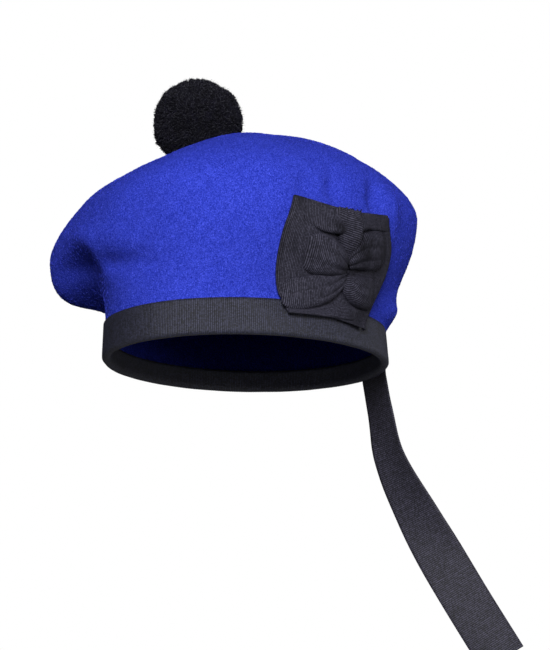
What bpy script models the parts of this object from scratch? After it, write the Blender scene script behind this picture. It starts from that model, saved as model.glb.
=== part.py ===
"""Balmoral bonnet, worn: felted wool crown, ribbon headband, toorie, cockade and one tail.

Metres, +Z up. The origin is the centre of the head opening, level with the band's lower edge.
The wearer faces -Y and the wearer's left is +X. Angles run from the front towards the left.
"""
import bmesh
import bpy
import math
import random
from mathutils import Vector
from mathutils.bvhtree import BVHTree

# Head opening, inside the folded band
HEAD_WIDTH = 0.160
HEAD_LENGTH = 0.200

# Cloth
WOOL = 0.0025
RIBBON = 0.0012
FIT = 0.0003

# Headband, a ribbon folded round the hem of the crown
BAND_HEIGHT = 0.023
BAND_RETURN = 0.014
BAND_TAPER = 0.0015

# Crown
CROWN_HEIGHT = 0.141
CROWN_OVERHANG = 0.040
TOP_SHIFT = 0.035
TOP_FLATNESS = 0.5
TOORIE_DIP = 0.0020
TOORIE_DIP_RADIUS = 0.028

# Toorie
TOORIE_DIAMETER = 0.0590
TOORIE_PRESS = 0.001
LOCK_LENGTH = 0.003
SHORTEST_LOCK = 0.7

# Cockade on the wearer's left
COCKADE_WIDTH = 0.092
COCKADE_HEIGHT = 0.0695
COCKADE_ANGLE = math.radians(75.5)
BAND_OVERLAP = 0.009
COCKADE_SPRING = 0.45
ROSETTE_PUFF = 0.012
ROSETTE_MARGIN = 0.0025

# Tail, sewn on the band at the back, on the wearer's left of its middle
TAIL_WIDTH = 0.0315
TAIL_THICKNESS = 0.001
TAIL_ANGLE = math.radians(155)
TAIL_SEWN = 0.017
TAIL_DROP = 0.186
TAIL_SWAY = 0.083
TAIL_SWAY_HEADING = math.radians(134)
TAIL_TURN = math.radians(62)

# How finely the pieces are divided
STATIONS = 64
WALL_RINGS = 9
TOP_RINGS = 14
FOLD_STEPS = 4
PATCH_STEPS = 12
ROSETTE_STEPS = 20
TAIL_STEPS = 26
SEWN_STEPS = 3
HALVINGS = 24
ANGLE_STEP = 0.01
LOCK_SEED = 7

# The crown's profile at places round the head, with their angles in degrees.
# over is a share of CROWN_OVERHANG, belly and crest of CROWN_HEIGHT. lift and sag are shares of
# the belly's height over the band, flare of the overhang, and shoulder of the rise to the crest.
CROWN_COLUMNS = ("over", "belly", "lift", "flare", "sag", "shoulder", "crest")
CROWN_SIDES = (
    # angle, over, belly, lift, flare, sag, shoulder, crest
    (0, 0.21, 0.67, 0.45, 0.30, 0.58, 0.58, 0.94),     # front
    (45, 0.45, 0.58, 0.42, 0.40, 0.60, 0.64, 1.09),    # front left
    (90, 0.44, 0.63, 0.42, 0.40, 0.62, 0.59, 1.15),    # left
    (135, 0.61, 0.68, 0.38, 0.24, 0.64, 0.25, 1.26),   # back left
    (180, 0.46, 0.69, 0.37, 0.35, 0.55, 0.55, 1.10),   # back
    (225, 0.77, 0.60, 0.50, 0.15, 0.40, 0.60, 1.00),   # back right
    (265, 1.02, 0.66, 0.70, 0.05, 0.20, 0.50, 0.92),   # right
    (290, 1.15, 0.53, 0.71, 0.05, 0.24, 0.42, 0.87),   # drooping lobe
    (312, 0.57, 0.60, 0.85, -0.04, 0.73, 0.45, 0.92),  # front right, an upright wall
    (335, 0.33, 0.60, 0.62, 0.12, 0.66, 0.49, 0.94),   # right of the front
)

# Dents and swells of the crown. level is 0 at the band, 1 at the belly and 2 at the top centre.
# angle and its half width are in degrees, slant in degrees for each level, and depth is a share
# of CROWN_OVERHANG, below zero for a dent. Above the band they fade in up to FOLDS_START.
CROWN_FOLDS = (
    # name, angle, level, slant, half width, half level, depth
    ("hollow by the lobe", 322, 1.06, 0, 18, 0.13, -0.090),
    ("roll over the hollow", 322, 1.28, 0, 24, 0.16, 0.030),
    ("crease at back left", 106, 1.32, -14, 5, 0.22, -0.070),
    ("back left swell", 124, 1.18, 0, 9, 0.20, 0.070),
    ("tuck over the band", 134, 0.16, 0, 20, 0.14, 0.110),
    ("dent over the badge", 68, 1.40, 10, 8, 0.22, -0.045),
    ("swell at the front", 20, 1.30, 0, 16, 0.25, 0.030),
    ("first back fold", 165, 0.75, -10, 7, 0.40, -0.080),
    ("second back fold", 200, 0.80, 8, 8, 0.45, -0.090),
    ("third back fold", 238, 0.70, 6, 7, 0.35, -0.075),
)
FOLDS_START = 0.1

# Half width of the cockade at each height, as shares of half of COCKADE_WIDTH
COCKADE_OUTLINE = (
    # height, half width
    (0.00, 0.70),
    (0.20, 0.86),
    (0.50, 1.00),
    (0.80, 0.95),
    (1.00, 0.86),
)

# Puffed folds of the rosette. across and up are the middle of each fold, from the left edge to
# the right edge (-1 to 1) and from the foot to the top (0 to 1), tilt is in degrees, and puff is
# a share of ROSETTE_PUFF.
ROSETTE_FOLDS = (
    # name,            across,   up, half across, half up, tilt, puff
    ("left petal",      -0.13, 0.58,        0.36,    0.21,  -18, 1.00),
    ("right petal",      0.54, 0.62,        0.33,    0.21,   14, 0.95),
    ("upper fold",       0.14, 0.83,        0.80,    0.17,    0, 0.45),
    ("lower left fold", -0.40, 0.20,        0.56,    0.19,   12, 0.75),
    ("lower right fold", 0.40, 0.25,        0.42,    0.20,  -16, 0.70),
    ("left border",     -0.62, 0.55,        0.30,    0.36,    0, 0.35),
)
PINCH_ACROSS = 0.18
PINCH_UP = 0.45
PINCH_REACH = 0.16

# Way of the tail below the band: drop is a share of TAIL_DROP, sway of TAIL_SWAY and turn of
# TAIL_TURN, the turn of the ribbon's face towards the wearer's left.
TAIL_WAY = (
    # drop, sway, turn
    (0.00, 0.00, 0.00),
    (0.11, 0.04, 0.02),
    (0.28, 0.11, 0.15),
    (0.51, 0.34, 0.60),
    (0.74, 0.62, 1.00),
    (1.00, 1.00, 1.00),
)

BAND_THICKNESS = 2 * RIBBON + 2 * FIT + WOOL


def between(a, b, share):
    """The value at a share of the way from a to b."""
    return a + (b - a) * share


def smooth(rows, where, column):
    """Smooth value of a column at a place, for rows that start with their own place."""
    last = len(rows) - 1
    low = next((row for row in range(last) if where <= rows[row + 1][0]), last - 1)

    def slope(row):
        before, after = rows[max(row - 1, 0)], rows[min(row + 1, last)]
        return (after[column] - before[column]) / (after[0] - before[0])

    gap = rows[low + 1][0] - rows[low][0]
    share = (where - rows[low][0]) / gap
    start, end = rows[low][column], rows[low + 1][column]
    ease = share * share * (3 - 2 * share)
    leave = gap * slope(low) * share * (1 - share) ** 2
    arrive = gap * slope(low + 1) * share**2 * (1 - share)
    return between(start, end, ease) + leave - arrive


def bezier(a, b, c, d, share):
    """A cubic curve from a to d that leaves towards b and arrives from c."""
    rest = 1 - share
    return a * rest**3 + 3 * b * share * rest**2 + 3 * c * share**2 * rest + d * share**3


def round_head(angle, inward, height):
    """A point on the head's oval, inward from the band's outer face at that height."""
    lean = inward + BAND_TAPER * min(height, BAND_HEIGHT) / BAND_HEIGHT - BAND_THICKNESS
    across = HEAD_WIDTH / 2 - lean
    along_head = HEAD_LENGTH / 2 - lean
    return Vector((across * math.sin(angle), -along_head * math.cos(angle), height))


def along_band(angle):
    """The level way along the band at an angle, towards larger angles."""
    step = round_head(angle + ANGLE_STEP, 0, 0) - round_head(angle - ANGLE_STEP, 0, 0)
    return step.normalized()


def crown_side(angle):
    """The columns of CROWN_SIDES at an angle, as lengths where they are lengths."""
    degrees = math.degrees(angle) % 360
    ends = 2
    before = [(row[0] - 360, *row[1:]) for row in CROWN_SIDES[-ends:]]
    after = [(row[0] + 360, *row[1:]) for row in CROWN_SIDES[:ends]]
    rows = [*before, *CROWN_SIDES, *after]
    side = {name: smooth(rows, degrees, number + 1) for number, name in enumerate(CROWN_COLUMNS)}
    side["over"] *= CROWN_OVERHANG
    side["belly"] *= CROWN_HEIGHT
    side["crest"] *= CROWN_HEIGHT
    return side


def swell(angle, level):
    """How far the folds push the crown out at an angle and level."""
    total = 0.0
    for _, middle, height, slant, half_width, half_level, depth in CROWN_FOLDS:
        centre = middle + slant * (level - height)
        away = (math.degrees(angle) - centre + 180) % 360 - 180
        total += depth * math.exp(-(away / half_width) ** 2 - ((level - height) / half_level) ** 2)
    return total * CROWN_OVERHANG


def crown_wall(angle, level, side=None):
    """A point of the crown between the band, level 0, and the belly, level 1."""
    side = side or crown_side(angle)
    start = BAND_HEIGHT + FIT
    rise = side["belly"] - start
    over = side["over"]
    out = bezier(0, over * side["flare"], over, over, level)
    low = start + side["lift"] * rise
    high = start + side["sag"] * rise
    height = bezier(start, low, high, side["belly"], level)
    fade = min(1, level / FOLDS_START)
    out += swell(angle, level) * fade
    return round_head(angle, RIBBON + FIT - out, height)


def crown_top(angle, level):
    """A point of the crown between the belly, level 1, and the top centre, level 2."""
    side = crown_side(angle)
    share = level - 1
    edge = crown_wall(angle, 1, side)
    centre = Vector((-TOP_SHIFT, 0, 0))
    inward = bezier(0, 0, 1 - TOP_FLATNESS, 1, share)
    shoulder = between(side["belly"], side["crest"], side["shoulder"])
    height = bezier(side["belly"], shoulder, side["crest"], CROWN_HEIGHT, share)
    push = swell(angle, level) - swell(angle, 1) * (1 - inward)
    tilt = share * math.pi / 2
    outward = Vector((math.sin(angle), -math.cos(angle), 0))
    place = edge.lerp(centre, inward) + outward * push * math.cos(tilt)
    near = 1 - min(1, (place - centre).xy.length / TOORIE_DIP_RADIUS)
    place.z = height + push * math.sin(tilt) - TOORIE_DIP * near * near * (3 - 2 * near)
    return place


def material(name, colour, roughness):
    """A plain cloth material."""
    made = bpy.data.materials.new(name)
    made.use_nodes = True
    made.diffuse_color = (*colour, 1)
    shader = made.node_tree.nodes["Principled BSDF"]
    shader.inputs["Base Color"].default_value = (*colour, 1)
    shader.inputs["Roughness"].default_value = roughness
    shader.inputs["Metallic"].default_value = 0.0
    return made


def add_piece(name, mesh_maker, finish):
    """A named object with the mesh that mesh_maker builds in a bmesh."""
    bm = bmesh.new()
    mesh_maker(bm)
    mesh = bpy.data.meshes.new(name)
    bm.to_mesh(mesh)
    bm.free()
    mesh.materials.append(finish)
    mesh.shade_smooth()
    piece = bpy.data.objects.new(name, mesh)
    bpy.context.scene.collection.objects.link(piece)
    return piece


def thicken(piece, thickness, offset):
    """Give a sheet its thickness, on its outer side for 1 and its inner side for -1."""
    wall = piece.modifiers.new("wall", "SOLIDIFY")
    wall.thickness = thickness
    wall.offset = offset
    wall.use_even_offset = True


def loft(bm, rings):
    """Extrude a closed ring through the rings, and give the edges of the first and the last."""
    station = bm.verts.layers.int.new("station")
    start = bmesh.ops.create_circle(bm, segments=len(rings[0]), radius=1)["verts"]
    for number, vert in enumerate(start):
        vert[station] = number
        vert.co = rings[0][number]
    first = [edge for edge in bm.edges]
    edges = first
    for ring in rings[1:]:
        grown = bmesh.ops.extrude_edge_only(bm, edges=edges)["geom"]
        edges = [item for item in grown if isinstance(item, bmesh.types.BMEdge)]
        for vert in (item for item in grown if isinstance(item, bmesh.types.BMVert)):
            vert.co = ring[vert[station]]
        verts = {item for item in grown if isinstance(item, bmesh.types.BMVert)}
        edges = [edge for edge in edges if edge.verts[0] in verts and edge.verts[1] in verts]
    return first, edges


def sheet(bm, across_steps, up_steps, place):
    """A grid whose points go where place puts their shares across (-1 to 1) and up (0 to 1)."""
    grid = bmesh.ops.create_grid(bm, x_segments=across_steps, y_segments=up_steps, size=1)
    for vert in grid["verts"]:
        vert.co = place(vert.co.x, (vert.co.y + 1) / 2)


def angles():
    """The angles of the stations round the head."""
    return [math.tau * number / STATIONS for number in range(STATIONS)]


def make_crown(finish):
    """The wool crown, from its hem inside the band over the belly to the top centre."""
    hem = BAND_THICKNESS / 2

    def build(bm):
        rings = [[round_head(angle, RIBBON + FIT, hem) for angle in angles()]]
        for step in range(WALL_RINGS + 1):
            level = step / WALL_RINGS
            rings.append([crown_wall(angle, level) for angle in angles()])
        for step in range(1, TOP_RINGS):
            level = 1 + step / TOP_RINGS
            rings.append([crown_top(angle, level) for angle in angles()])
        last = loft(bm, rings)[1]
        lid = bmesh.ops.edgeloop_fill(bm, edges=last)["faces"]
        middle = bmesh.ops.poke(bm, faces=lid)["verts"][0]
        middle.co = crown_top(0, 2)
        bmesh.ops.recalc_face_normals(bm, faces=bm.faces)

    crown = add_piece("crown", build, finish)
    thicken(crown, WOOL, -1)
    return crown


def make_headband(finish):
    """The ribbon folded round the hem: an outer leg, a round fold and a shorter inner leg."""
    radius = BAND_THICKNESS / 2
    bends = [math.pi * step / FOLD_STEPS for step in range(FOLD_STEPS + 1)]
    outside = [(radius - radius * math.cos(bend), radius - radius * math.sin(bend)) for bend in bends]
    slot = radius - RIBBON
    inside = [(radius + slot * math.cos(bend), radius - slot * math.sin(bend)) for bend in bends]
    section = [(0, BAND_HEIGHT), *outside, (BAND_THICKNESS, BAND_RETURN)]
    section += [(BAND_THICKNESS - RIBBON, BAND_RETURN), *inside, (RIBBON, BAND_HEIGHT)]

    def ring(inward, height):
        return [round_head(angle, inward, height) for angle in angles()]

    def build(bm):
        first, last = loft(bm, [ring(inward, height) for inward, height in section])
        bmesh.ops.bridge_loops(bm, edges=first + last)
        bmesh.ops.recalc_face_normals(bm, faces=bm.faces)

    return add_piece("headband", build, finish)


def make_toorie(finish, crown):
    """The pompom: a ball with its faces drawn out into locks, pressed flat on the crown."""
    radius = TOORIE_DIAMETER / 2
    root = radius - LOCK_LENGTH
    seat = CROWN_HEIGHT - TOORIE_DIP - TOORIE_PRESS
    faces = [face.vertices for face in crown.data.polygons]
    skin = BVHTree.FromPolygons([vert.co for vert in crown.data.vertices], faces)
    lengths = random.Random(LOCK_SEED)
    down = Vector((0, 0, -1))

    def build(bm):
        bmesh.ops.create_icosphere(bm, subdivisions=3, radius=root)
        for tip in bmesh.ops.poke(bm, faces=bm.faces)["verts"]:
            reach = root + LOCK_LENGTH * lengths.uniform(SHORTEST_LOCK, 1)
            tip.co = tip.co.normalized() * reach
        bmesh.ops.translate(bm, verts=bm.verts, vec=(-TOP_SHIFT, 0, seat + radius))
        for vert in bm.verts:
            above = Vector((vert.co.x, vert.co.y, seat + radius))
            floor = skin.ray_cast(above, down)[0]
            vert.co.z = max(vert.co.z, floor.z + 2 * FIT)

    return add_piece("toorie", build, finish)


def wall_at(angle, height):
    """The outermost point of the band or the crown's wall at an angle and a height."""
    band = round_head(angle, 0, height) if height <= BAND_HEIGHT + FIT else None
    side = crown_side(angle)
    low, high = 0.0, 1.0
    for _ in range(HALVINGS):
        level = (low + high) / 2
        if crown_wall(angle, level, side).z < height:
            low = level
        else:
            high = level
    wool = crown_wall(angle, level, side)
    if band and band.xy.length > wool.xy.length:
        return band
    return Vector((wool.x, wool.y, height))


def cockade_point(across, up, lift):
    """A point of the cockade, with its height off the patch's back, lift."""
    foot = BAND_HEIGHT - BAND_OVERLAP
    height = foot + up * COCKADE_HEIGHT
    middle = wall_at(COCKADE_ANGLE, height)
    band = round_head(COCKADE_ANGLE, 0, BAND_HEIGHT)
    ahead = along_band(COCKADE_ANGLE)
    outward = ahead.cross(Vector((0, 0, 1)))
    reach = across * smooth(COCKADE_OUTLINE, up, 1) * COCKADE_WIDTH / 2
    low, high = -math.pi / 2, math.pi / 2
    for _ in range(HALVINGS):
        turn = (low + high) / 2
        if (wall_at(COCKADE_ANGLE + turn, height) - middle).dot(ahead) < reach:
            low = turn
        else:
            high = turn
    behind = (middle - wall_at(COCKADE_ANGLE + turn, height)).dot(outward)
    stand = max(0, (band - middle).dot(outward))
    depth = (1 - COCKADE_SPRING) * behind - stand - FIT - lift
    return middle + ahead * reach - outward * depth


def make_cockade_patch(finish):
    """The square of ribbon on the wall of the crown, over the band's upper edge."""

    def build(bm):
        sheet(bm, PATCH_STEPS, PATCH_STEPS, lambda across, up: cockade_point(across, up, 0))

    patch = add_piece("cockade_patch", build, finish)
    thicken(patch, RIBBON, 1)
    return patch


def rosette_lift(across, up):
    """How high the folds of the rosette stand, low at the pinch in their middle."""
    highest = 0.0
    for _, middle, height, half_across, half_up, tilt, puff in ROSETTE_FOLDS:
        turn = math.radians(tilt)
        x, y = across - middle, (up - height) * 2
        along_fold = (x * math.cos(turn) + y * math.sin(turn)) / half_across
        over_fold = (y * math.cos(turn) - x * math.sin(turn)) / (2 * half_up)
        dome = max(0, 1 - along_fold**2 - over_fold**2)
        highest = max(highest, puff * dome**0.75)
    pinch = math.hypot(across - PINCH_ACROSS, 2 * (up - PINCH_UP)) / (2 * PINCH_REACH)
    return ROSETTE_PUFF * highest * min(1, pinch)


def make_cockade_rosette(finish):
    """The folded ribbon on the patch: puffed petals that a pinch gathers in the middle."""
    edge = 1 - 2 * ROSETTE_MARGIN / COCKADE_WIDTH

    def place(across, up):
        inset_up = between(1 - edge, edge, up)
        lift = rosette_lift(across, up)
        return cockade_point(across * edge, inset_up, 2 * RIBBON + FIT + lift)

    def build(bm):
        sheet(bm, ROSETTE_STEPS, ROSETTE_STEPS, place)

    rosette = add_piece("cockade_rosette", build, finish)
    thicken(rosette, RIBBON, -1)
    return rosette


def tail_frame(step):
    """The middle of the tail and the way of its width at a step down from its sewn end."""
    seam = FIT + TAIL_THICKNESS / 2
    start = round_head(TAIL_ANGLE, -seam, 0)
    ahead = -along_band(TAIL_ANGLE)
    if step <= SEWN_STEPS:
        return round_head(TAIL_ANGLE, -seam, TAIL_SEWN * (1 - step / SEWN_STEPS)), ahead
    share = (step - SEWN_STEPS) / (TAIL_STEPS - SEWN_STEPS)
    sway = TAIL_SWAY * smooth(TAIL_WAY, share, 1)
    heading = Vector((math.sin(TAIL_SWAY_HEADING), -math.cos(TAIL_SWAY_HEADING), 0))
    middle = start + heading * sway - Vector((0, 0, TAIL_DROP * share))
    turn = math.atan2(ahead.y, ahead.x) + TAIL_TURN * smooth(TAIL_WAY, share, 2)
    return middle, Vector((math.cos(turn), math.sin(turn), 0))


def make_ribbon_tail(finish):
    """The tail: sewn flat on the band, then hanging and turning its face to the side."""
    frames = [tail_frame(step) for step in range(TAIL_STEPS + 1)]

    def place(across, up):
        step = round((1 - up) * TAIL_STEPS)
        middle, width = frames[step]
        before, after = frames[max(step - 1, 0)][0], frames[min(step + 1, TAIL_STEPS)][0]
        down = (after - before).normalized()
        width = (width - down * width.dot(down)).normalized()
        return middle + width * across * TAIL_WIDTH / 2

    def build(bm):
        sheet(bm, 2, TAIL_STEPS, place)

    tail = add_piece("ribbon_tail", build, finish)
    thicken(tail, TAIL_THICKNESS, 0)
    return tail


def clear_scene():
    """Remove what the scene starts with."""
    for item in list(bpy.data.objects):
        bpy.data.objects.remove(item)


def main():
    clear_scene()
    wool = material("royal blue wool", (0.030, 0.048, 0.520), 0.95)
    ribbon = material("black ribbon", (0.035, 0.034, 0.045), 0.75)
    yarn = material("black yarn", (0.008, 0.008, 0.011), 0.95)
    crown = make_crown(wool)
    make_headband(ribbon)
    make_toorie(yarn, crown)
    make_cockade_patch(ribbon)
    make_cockade_rosette(ribbon)
    make_ribbon_tail(ribbon)


main()
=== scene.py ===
"""Looks of the balmoral bonnet: felted wool, ribbed ribbon and a yarn toorie, in metres.

+Z is up and the wearer faces -Y, so the wearer's left, where the cockade sits, is +X.
"""
import math

import bmesh
import bpy
import numpy as np
from mathutils import Matrix, Vector, noise
from mathutils.bvhtree import BVHTree


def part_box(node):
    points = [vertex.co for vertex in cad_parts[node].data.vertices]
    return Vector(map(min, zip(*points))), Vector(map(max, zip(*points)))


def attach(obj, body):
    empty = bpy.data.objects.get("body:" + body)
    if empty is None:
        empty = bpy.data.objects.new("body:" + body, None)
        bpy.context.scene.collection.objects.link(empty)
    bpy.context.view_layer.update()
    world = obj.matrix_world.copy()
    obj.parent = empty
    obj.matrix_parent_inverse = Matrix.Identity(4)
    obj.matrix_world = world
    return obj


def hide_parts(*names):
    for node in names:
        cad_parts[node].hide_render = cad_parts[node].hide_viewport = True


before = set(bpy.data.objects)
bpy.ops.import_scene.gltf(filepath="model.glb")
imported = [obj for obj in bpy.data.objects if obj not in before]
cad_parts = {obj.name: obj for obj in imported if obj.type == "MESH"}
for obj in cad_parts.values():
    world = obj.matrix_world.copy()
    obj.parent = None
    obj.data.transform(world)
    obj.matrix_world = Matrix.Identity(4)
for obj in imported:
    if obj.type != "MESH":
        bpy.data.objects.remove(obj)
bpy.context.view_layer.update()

BODY = "root"
MM = 0.001
WHITE = (1.0, 1.0, 1.0)

# View of the photograph
VIEW_AZIMUTH = math.radians(33.5)
VIEW_ELEVATION = math.radians(-12.1)
VIEW_ROLL = math.radians(-1.5)
VIEW_DISTANCE = 1.700
VIEW_ACROSS = 0.01785
VIEW_UP = 0.0257
PHOTO_HEIGHT = 650
FOCAL_PIXELS = 2645
SENSOR = 36

# Studio: places as metres right, up and back from the bonnet's middle, and power in watts
BONNET_MIDDLE = Vector((-0.01, 0, 0.07))
LIGHTS = (
    # name, right, up, back, size, power
    ("key", -0.05, 0.74, 1.93, 0.7, 57),
    ("fill", 1.9, 0.0, -0.2, 1.0, 11),
)

# Strength of the white backdrop: as it is seen, and as a light from below and from above
BACKDROP_SEEN = 1.0
BACKDROP_BELOW = 0.02
BACKDROP_ABOVE = 0.05
BACKDROP_RISE = (-0.5, 0.6)
FLOOR_HEIGHT = -0.50
FLOOR_COLOUR = (0.82, 0.82, 0.82)

# Cloth
RIBBON = 0.0012
WOOL = 0.0025
FIT = 0.0003
RIB_PITCH = 0.00125
RIB_HEIGHT = 0.00014
STEPS_PER_RIB = 2

# Headband
BAND_HEIGHT = 0.023
BAND_RETURN = 0.014
BAND_TAPER = 0.0015
BAND_THICKNESS = 2 * RIBBON + 2 * FIT + WOOL
BAND_STEPS = 22
BAND_WAVE = 0.0002
BAND_WAVES_ROUND = 5
BAND_WAVES_UP = 60

# Crown and its nap
CROWN_SUBDIVISIONS = 2
CROWN_HOLLOW = Vector((-0.010, 0, 0.060))
FELT_FREE = 0.012
FELT_WAVE = 0.0006
FELT_WAVE_SIZE = 0.030
FELT_LUMP = 0.00012
FELT_LUMP_SIZE = 0.006
NAP_FIBRES = 36000
NAP_LENGTH = 0.0021
NAP_WIDTH = 0.00015
NAP_STEPS = 2
NAP_BEND = 0.0001
NAP_CURLS = (-0.0007, -0.0004, 0.0002, 0.0005, 0.0009)
NAP_LEAN = (math.radians(80), math.radians(90))
NAP_SIZES = (0.45, 1.15)
NAP_SEED = 11
FIBRE_TIP = 0.3

# Ways that the felt is pushed, out of the cloth
TO_CAMERA = (0.540, -0.815, -0.210)
LEFT_AND_DOWN = (-0.670, -0.270, -0.692)
OUT_LEFT = (0.970, 0.150, 0.190)
OUT_FRONT = (0.150, -0.980, -0.100)

# Soft dents of the felt, in metres, where a depth below zero is a swell. They fade out towards the
# band's top edge and are cut off at some half widths.
DENT_FREE = 0.004
DENT_REACH = 3
DENTS = (
    # name, middle, way that it runs, half length, half width, depth, way out of the cloth
    ("under the lobe", (-0.089, -0.043, 0.040), (-0.90, -0.26, 0.35), 0.030, 0.019, 0.024, TO_CAMERA),
    ("foot of the lobe", (-0.101, -0.05, 0.05), (0.70, 0.57, -0.44), 0.020, 0.012, -0.0058, LEFT_AND_DOWN),
    ("hollow over the lobe", (-0.082, -0.071, 0.061), (0.92, -0.33, -0.21), 0.024, 0.008, 0.0038, TO_CAMERA),
    ("swell beside the lobe", (-0.064, -0.086, 0.073), (0.92, -0.2, -0.3), 0.024, 0.014, -0.010, TO_CAMERA),
    ("crease beside it", (-0.028, -0.101, 0.053), (0.96, -0.22, -0.10), 0.028, 0.007, 0.0056, OUT_FRONT),
    ("fold over the cockade", (0.099, 0.004, 0.096), (0.10, 0.20, 0.97), 0.018, 0.007, 0.0046, OUT_LEFT),
    ("ridge behind the fold", (0.098, 0.023, 0.092), (0.10, 0.15, 0.97), 0.022, 0.0085, -0.0036, OUT_LEFT),
    ("fold in front of it", (0.0935, -0.033, 0.097), (-0.15, 0.05, 0.98), 0.015, 0.008, 0.0034, OUT_LEFT),
    ("hollow over the cockade", (0.092, -0.034, 0.092), (0.15, 0.98, 0.0), 0.034, 0.008, 0.0042, OUT_LEFT),
    ("dimple by the cockade", (0.087, -0.055, 0.095), (-0.3, 0.7, 0.5), 0.012, 0.008, 0.0026, OUT_LEFT),
    ("bulge over the band", (0.078, 0.062, 0.029), (-0.36, 0.92, 0.0), 0.020, 0.009, -0.0075, OUT_LEFT),
)

# Toorie
TOORIE_RADIUS = 0.0290
HEART_RADIUS = 0.0276
HEART_LUMPS = (
    # size, height
    (0.020, 0.0022),
    (0.009, 0.0017),
    (0.004, 0.0006),
)
LUMP_PLACE = Vector((19.6, -37.1, -12.3))
HEART_DETAIL = 5
SKIN_DETAIL = 4
SEAT_SEARCH = 0.03
YARN_ENDS = 9000
YARN_LENGTH = 0.0022
YARN_RADIUS = 0.00042
YARN_SIDES = 3
YARN_STEPS = 3
YARN_CURLS = ((0.0003, 0.0004), (0.0012, 0.0005), (-0.0009, 0.0012), (0.0004, -0.0018))
YARN_LEAN = (math.radians(-55), math.radians(55))
YARN_SIZES = (0.7, 1.05)
YARN_SEED = 23
STRAY_FIBRES = 14000
STRAY_LENGTH = 0.0030
STRAY_WIDTH = 0.00013
STRAY_STEPS = 3
STRAY_CURLS = ((-0.0018, 0.0010), (0.0008, 0.0020), (0.0022, -0.0012))
STRAY_LEAN = (math.radians(20), math.radians(80))
STRAY_SIZES = (0.6, 1.15)
STRAY_SEED = 31

# Cockade
COCKADE_ANGLE = math.radians(75.5)
COCKADE_FOOT = 0.014
COCKADE_HEIGHT = 0.0695
COCKADE_PITCH = 0.00115
COCKADE_STEPS = 44
ROSETTE_RIBBON = 0.0006
# Least share of the cockade's colour that the painted shade keeps
LEAST_PAINTED_LIGHT = 0.2

# The cockade's patch: its hem, its rounded edges, its ripple, the dip of its upper edge and the
# drop of its lower corner at the back
HEM = 0.003
HEM_TUCK = 0.0016
HEM_SINK = 0.9
PATCH_LIFT = 0.0010
EDGE_ROUND = 0.0006
EDGE_REACH = 0.0012
PATCH_RIPPLE = 0.0005
PATCH_DIP = 0.0032
CORNER_DROP = 0.0030
CORNER_START = 0.55

# Tail
TAIL_WIDTH = 0.0315
TAIL_THICKNESS = 0.0009
TAIL_ANGLE = math.radians(155)
TAIL_SEWN = 0.017
TAIL_DROP = 0.186
TAIL_SWAY = 0.083
TAIL_SWAY_HEADING = math.radians(134)
TAIL_TURN = math.radians(62)
TAIL_STEPS = 16
TAIL_SAMPLES = 400
TAIL_LOOSE = 0.04
TAIL_CUP = 0.0016
TAIL_RIPPLE = 0.0007
TAIL_RIB_SHARE = 0.8

# Colours: of fibres, from dark to light, of the clumps that they form, and of a ribbon's grooves, with
# painted shade, and the tops of its ribs, with a painted sheen
WOOL_SHADES = ((0.008, 0.018, 0.25), (0.026, 0.044, 0.465), (0.075, 0.105, 0.76))
WOOL_CLUMPS = (0.80, 0.80, 0.84)
NAP_SHADES = ((0.008, 0.016, 0.24), (0.032, 0.048, 0.49), (0.100, 0.130, 0.82))
NAP_CLUMPS = (0.9, 0.9, 0.95)
YARN_SHADES = ((0.001, 0.001, 0.002), (0.008, 0.007, 0.017))
STRAY_SHADES = ((0.002, 0.002, 0.004), (0.026, 0.022, 0.050))
YARN_CLUMPS = (0.45, 0.45, 0.40)
YARN_SHEEN = (0.6, 0.6, 0.75)
BAND_SHADES = ((0.003, 0.003, 0.006), (0.039, 0.041, 0.078))
COCKADE_SHADES = ((0.008, 0.008, 0.013), (0.080, 0.077, 0.113))
TAIL_SHADES = ((0.005, 0.004, 0.009), (0.066, 0.062, 0.098))
RIBBON_STREAKS = (0.62, 0.62, 0.64)

# Outer half width and half length of the band's oval
HALF_WIDTH, HALF_LENGTH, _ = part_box("headband")[1]

# Edges of the cockade's patch, in millimetres: heights over its foot, and places towards the
# wearer's back
PATCH_SIDES = (
    # height, left edge, right edge
    (0.0, -35.0, 29.0),
    (6.0, -38.0, 32.5),
    (13.0, -42.5, 37.0),
    (23.0, -46.0, 42.5),
    (35.0, -48.2, 46.5),
    (48.0, -48.4, 46.0),
    (58.0, -46.2, 42.0),
    (69.5, -43.0, 38.5),
)

# Width of the patch halfway up, in metres
PATCH_WIDTH = (PATCH_SIDES[4][2] - PATCH_SIDES[4][1]) * MM

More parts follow.
